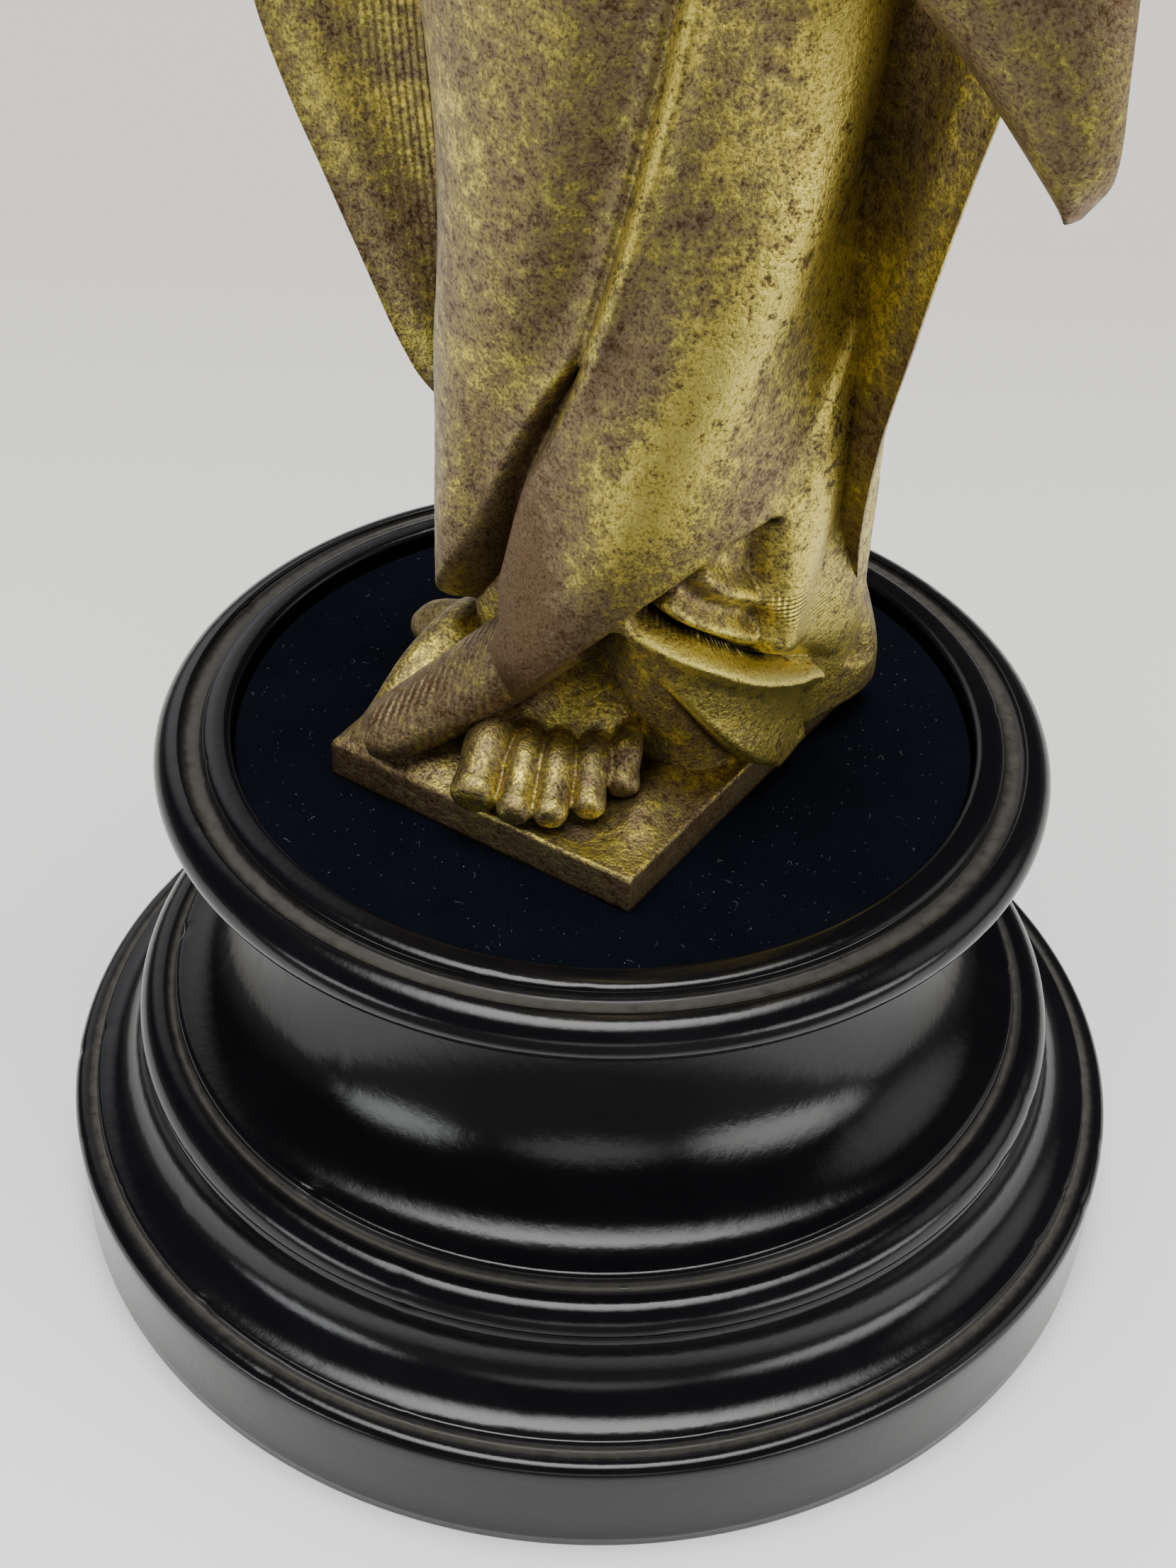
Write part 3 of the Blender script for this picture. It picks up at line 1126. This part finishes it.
class ANGEL_OT_camera(bpy.types.Operator):
    """Add the camera at the photograph's viewing angle"""
    bl_idname = "angel.camera"
    bl_label = "Camera"

    def execute(self, context):
        stage = context.scene.angel_stage
        data = bpy.data.cameras.new("view")
        data.sensor_width = 36
        data.lens = stage.lens
        data.clip_start = 0.01
        camera = bpy.data.objects.new("view", data)
        context.scene.collection.objects.link(camera)
        rows = list(zip(CAMERA_RIGHT, CAMERA_UP, CAMERA_BACK, stage.place))
        camera.matrix_world = Matrix(rows + [(0, 0, 0, 1)])
        context.scene.camera = camera
        return {"FINISHED"}


class ANGEL_OT_socle(bpy.types.Operator):
    """Turn the socle"""
    bl_idname = "angel.socle"
    bl_label = "Socle"

    def execute(self, context):
        make_socle(context.scene.angel_sizes, finish("ebonised_lacquer"))
        return {"FINISHED"}


class ANGEL_OT_velvet(bpy.types.Operator):
    """Lay the velvet in the recess, with its lint"""
    bl_idname = "angel.velvet"
    bl_label = "Velvet"

    def execute(self, context):
        make_pad(finish("blue_velvet"))
        make_lint(context.scene.angel_sizes, finish("white_lint"))
        return {"FINISHED"}


class ANGEL_OT_drapery(bpy.types.Operator):
    """Model the gown, the mantle and the sleeves"""
    bl_idname = "angel.drapery"
    bl_label = "Drapery"

    def execute(self, context):
        bronze = finish("gilt_bronze")
        make_gown(bronze)
        make_mantle(bronze)
        make_sleeve(1, bronze)
        make_sleeve(-1, bronze)
        make_trail(bronze)
        return {"FINISHED"}


class ANGEL_OT_body(bpy.types.Operator):
    """Model the feet, the hands, the head and the wings"""
    bl_idname = "angel.body"
    bl_label = "Body"

    def execute(self, context):
        bronze = finish("gilt_bronze")
        make_feet(bronze)
        make_hands(bronze)
        make_head(bronze)
        make_wing(1, bronze)
        make_wing(-1, bronze)
        return {"FINISHED"}


class ANGEL_OT_plinth(bpy.types.Operator):
    """Model the plinth of the casting"""
    bl_idname = "angel.plinth"
    bl_label = "Plinth"

    def execute(self, context):
        make_plinth(context.scene.angel_sizes, finish("gilt_bronze"))
        return {"FINISHED"}


# Soft parts of the studio's light: [azimuth from the front towards the figure's left, elevation,
# half width where it has faded out, how much wider than high, strength, colour]
LIGHTS = (
    (0, 90, 30, 1.0, 13.8, (1.0, 0.99, 0.97)),
    (-22, 7, 22, 2.8, 6.5, (0.97, 0.99, 1.0)),
    (34, 6.5, 26, 3.8, 1.9, (1.0, 0.99, 0.98)),
    (88, 5, 32, 3.0, 7.0, (1.0, 0.99, 0.97)),
    (-120, 30, 24, 1.0, 1.2, (0.97, 0.98, 1.0)),
    (130, 30, 26, 1.0, 1.4, (1.0, 0.99, 0.97)),
)


def studio_world(strength):
    """A world of soft oval lights: each fades by a smooth step of the angle to its middle, over a
    dim even base that is brighter near the horizon."""
    world = bpy.data.worlds.new("studio")
    world.use_nodes = True
    tree = world.node_tree
    direction = tree.nodes.new("ShaderNodeTexCoord").outputs["Generated"]
    horizon = maths(tree, "ABSOLUTE", node(tree, "ShaderNodeSeparateXYZ", Vector=direction).outputs[2])
    total = ramp(tree, horizon, (0.0, (0.3,) * 3), (0.3, (0.04, 0.04, 0.041)), (1.0, (0.03,) * 3))
    for azimuth, elevation, half, flat, power, colour in LIGHTS:
        a, e = math.radians(azimuth), math.atan(flat * math.tan(math.radians(elevation)))
        middle = (math.sin(a) * math.cos(e), -math.cos(a) * math.cos(e), math.sin(e))
        squashed = vector_maths(tree, "MULTIPLY", direction, (1, 1, flat))
        near = vector_maths(tree, "DOT_PRODUCT", vector_maths(tree, "NORMALIZE", squashed), middle)
        fade = node(tree, "ShaderNodeMapRange", interpolation_type="SMOOTHSTEP", Value=near,
                    From_Min=math.cos(math.radians(half)), From_Max=1.0).outputs[0]
        glow = mix(tree, fade, (0.0, 0.0, 0.0), tuple(power * c for c in colour))
        total = mix(tree, 1.0, total, glow, "ADD")
    plug(tree, tree.nodes["Background"], Color=total, Strength=strength)
    return world


class ANGEL_OT_stage(bpy.types.Operator):
    """Add the pale floor and the soft light"""
    bl_idname = "angel.stage"
    bl_label = "Stage"

    def execute(self, context):
        scene = context.scene
        side = np.linspace(-FLOOR_HALF, FLOOR_HALF, FLOOR_CELLS + 1)
        x, y = np.meshgrid(side, side, indexing="ij")
        points = np.stack([x, y, 0 * x], -1).reshape(-1, 3)
        i, j = np.meshgrid(np.arange(FLOOR_CELLS), np.arange(FLOOR_CELLS), indexing="ij")
        a = (i * len(side) + j).ravel()
        b = a + len(side)
        mesh = bpy.data.meshes.new("floor")
        mesh.from_pydata(points.tolist(), [], np.stack([a, b, b + 1, a + 1], 1).tolist())
        mesh.materials.append(finish("pale_floor"))
        floor = bpy.data.objects.new("floor", mesh)
        scene.collection.objects.link(floor)
        scene.world = studio_world(scene.angel_stage.light)
        return {"FINISHED"}


class ANGEL_PT_panel(bpy.types.Panel):
    """Sizes, colours and the steps of the angel statue"""
    bl_idname = "ANGEL_PT_panel"
    bl_label = "Bronze angel"
    bl_space_type = "VIEW_3D"
    bl_region_type = "UI"
    bl_category = "Angel"

    def draw(self, context):
        for group in (context.scene.angel_sizes, context.scene.angel_finish, context.scene.angel_stage):
            box = self.layout.box()
            for name in group.__annotations__:
                box.prop(group, name)
        for step in ("camera", "socle", "velvet", "plinth", "drapery", "body", "stage"):
            self.layout.operator("angel." + step)


CLASSES = (AngelSizes, AngelFinish, AngelStage, ANGEL_OT_camera, ANGEL_OT_socle, ANGEL_OT_velvet,
           ANGEL_OT_plinth, ANGEL_OT_drapery, ANGEL_OT_body, ANGEL_OT_stage, ANGEL_PT_panel)


def register():
    for each in CLASSES:
        bpy.utils.register_class(each)
    bpy.types.Scene.angel_sizes = bpy.props.PointerProperty(type=AngelSizes)
    bpy.types.Scene.angel_finish = bpy.props.PointerProperty(type=AngelFinish)
    bpy.types.Scene.angel_stage = bpy.props.PointerProperty(type=AngelStage)


def unregister():
    del bpy.types.Scene.angel_stage
    del bpy.types.Scene.angel_finish
    del bpy.types.Scene.angel_sizes
    for each in reversed(CLASSES):
        bpy.utils.unregister_class(each)


def main():
    register()
    bpy.ops.angel.camera()
    bpy.ops.angel.socle()
    bpy.ops.angel.velvet()
    bpy.ops.angel.plinth()
    bpy.ops.angel.drapery()
    bpy.ops.angel.body()
    bpy.ops.angel.stage()


if __name__ == "__main__":
    main()
